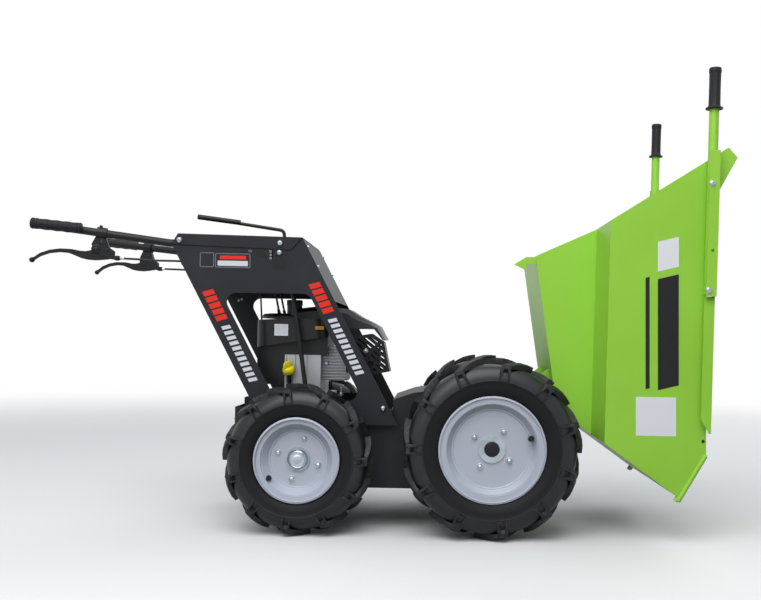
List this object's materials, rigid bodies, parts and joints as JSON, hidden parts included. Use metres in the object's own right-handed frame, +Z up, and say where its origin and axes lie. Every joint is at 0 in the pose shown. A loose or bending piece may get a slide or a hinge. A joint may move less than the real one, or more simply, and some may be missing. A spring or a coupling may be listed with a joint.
{
  "type": "walk-behind power barrow",
  "caption": "Walk-behind power barrow: driven lug-tyred wheels, upright engine under an A-framed console with handlebars, and a tipping sheet-steel tub.",
  "frame": {"origin": "on the ground, at the middle of the overall length and on the centre plane", "axes": "+X forwards (the way the tub tips), +Y to the machine's left, +Z up"},
  "size_m": [1.9213, 0.692, 1.2757],
  "materials": {
    "anthracite_paint": "satin powder coat",
    "green_paint": "gloss powder coat",
    "black_paint": "satin",
    "black_plastic": "moulded",
    "grip_rubber": "matte",
    "tyre_rubber": "matte",
    "rim_paint": "silver paint",
    "zinc": "zinc plated",
    "engine_alloy": "die cast",
    "yellow_plastic": "moulded"
  },
  "bodies": {
    "chassis": {"axle_front": "zinc", "axle_rear": "zinc", "console_front_panel": "black_paint", "console_rear_panel": "anthracite_paint", "console_top_panel": "anthracite_paint", "control_cable_left": "black_paint", "control_cable_right": "black_paint", "deck_frame": "anthracite_paint", "drive_case": "anthracite_paint", "engine_bed": "anthracite_paint", "engine_crankcase": "engine_alloy", "engine_hood": "black_plastic", "engine_shroud": "black_plastic", "engine_tray": "anthracite_paint", "gear_lever": "black_paint", "hand_lever_left": "black_paint", "hand_lever_right": "black_paint", "handlebar_grip_left": "grip_rubber", "handlebar_grip_right": "grip_rubber", "handlebar_left": "anthracite_paint", "handlebar_right": "anthracite_paint", "latch_hook": "zinc", "muffler_guard": "black_paint", "oil_dipstick": "yellow_plastic", "pivot_bracket": "anthracite_paint", "recoil_starter": "black_plastic", "shift_rod": "black_paint", "side_frame_left": "anthracite_paint", "side_frame_right": "anthracite_paint"},
    "tub": {"tub_catch": "green_paint", "tub_handle_grip_left": "grip_rubber", "tub_handle_grip_right": "grip_rubber", "tub_handle_left": "green_paint", "tub_handle_right": "green_paint", "tub_hinge_bracket": "green_paint", "tub_rim_left": "green_paint", "tub_rim_right": "green_paint", "tub_shell": "green_paint"},
    "wheel_rear_right": {"tyre_rear_right": "tyre_rubber", "rim_rear_right": "rim_paint", "hub_rear_right": "zinc"},
    "wheel_rear_left": {"tyre_rear_left": "tyre_rubber", "rim_rear_left": "rim_paint", "hub_rear_left": "zinc"},
    "wheel_front_right": {"tyre_front_right": "tyre_rubber", "rim_front_right": "rim_paint", "hub_front_right": "zinc"},
    "wheel_front_left": {"tyre_front_left": "tyre_rubber", "rim_front_left": "rim_paint", "hub_front_left": "zinc"}
  },
  "joints": [
    {"name": "tub_tip", "type": "hinge", "parent": "chassis", "child": "tub", "pos_m": [0.46445, 0, 0.42], "axis": [0, -1, 0], "range_deg": [0, 89]},
    {"name": "wheel_rear_right_spin", "type": "hinge", "parent": "chassis", "child": "wheel_rear_right", "pos_m": [-0.20955, -0.252, 0.20588], "axis": [0, 1, 0], "continuous": true},
    {"name": "wheel_rear_left_spin", "type": "hinge", "parent": "chassis", "child": "wheel_rear_left", "pos_m": [-0.20955, 0.252, 0.20588], "axis": [0, 1, 0], "continuous": true},
    {"name": "wheel_front_right_spin", "type": "hinge", "parent": "chassis", "child": "wheel_front_right", "pos_m": [0.31745, -0.265, 0.2455], "axis": [0, 1, 0], "continuous": true},
    {"name": "wheel_front_left_spin", "type": "hinge", "parent": "chassis", "child": "wheel_front_left", "pos_m": [0.31745, 0.265, 0.2455], "axis": [0, 1, 0], "continuous": true}
  ]
}
